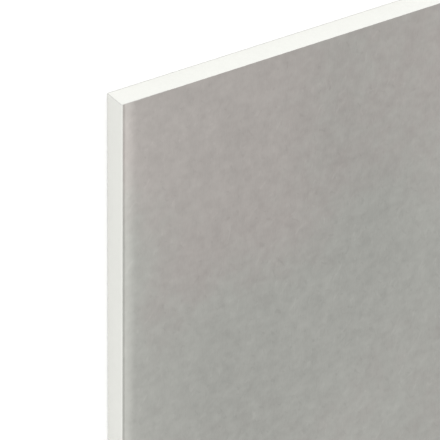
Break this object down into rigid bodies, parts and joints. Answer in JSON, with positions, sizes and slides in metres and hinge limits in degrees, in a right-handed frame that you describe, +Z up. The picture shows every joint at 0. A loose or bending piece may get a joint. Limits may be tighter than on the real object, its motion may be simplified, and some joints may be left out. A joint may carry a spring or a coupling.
{
  "type": "drywall sheet",
  "caption": "Flat square-edge gypsum board sheet, paper-faced, with a grey back paper up, an ivory face paper folded round the long edges and square-cut ends.",
  "frame": {"origin": "centre of the underside, on the floor that the sheet lies on", "axes": "+Z up, out of the grey back; +X along the length, out of a cut end; +Y across the width, out of a paper-bound long edge"},
  "size_m": [2.4, 1.2, 0.0125],
  "materials": {
    "gypsum": "matte, chalky, fine closed grain",
    "ivory_paper": "matte, smooth",
    "grey_paper": "matte, faintly mottled recycled fibre"
  },
  "bodies": {
    "root": {"gypsum_core": "gypsum", "face_paper": "ivory_paper", "back_paper": "grey_paper"}
  },
  "joints": []
}
